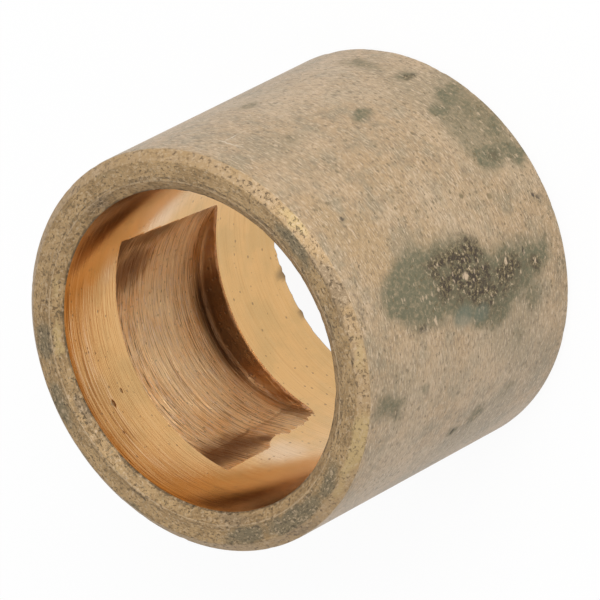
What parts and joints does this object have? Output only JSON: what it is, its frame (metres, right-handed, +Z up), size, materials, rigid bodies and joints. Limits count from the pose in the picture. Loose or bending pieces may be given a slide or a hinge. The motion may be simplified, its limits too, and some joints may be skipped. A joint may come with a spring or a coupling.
{
  "type": "bronze bushing with a lubrication pocket",
  "caption": "Plain one-piece bronze bushing: a short chamfered sleeve with a tapered lubrication pocket milled into the wall of its bore.",
  "frame": {"origin": "middle of the lower end face, on the bore axis", "axes": "+Z up along the bore axis towards the end with the relieved mouth; +Y towards the middle of the pocket"},
  "size_m": [0.02, 0.02, 0.017],
  "materials": {
    "bronze": "cast and turned bronze: dull and oxidised outside, satin and brighter in the bore"
  },
  "bodies": {
    "root": {"bushing": "bronze"}
  },
  "joints": []
}
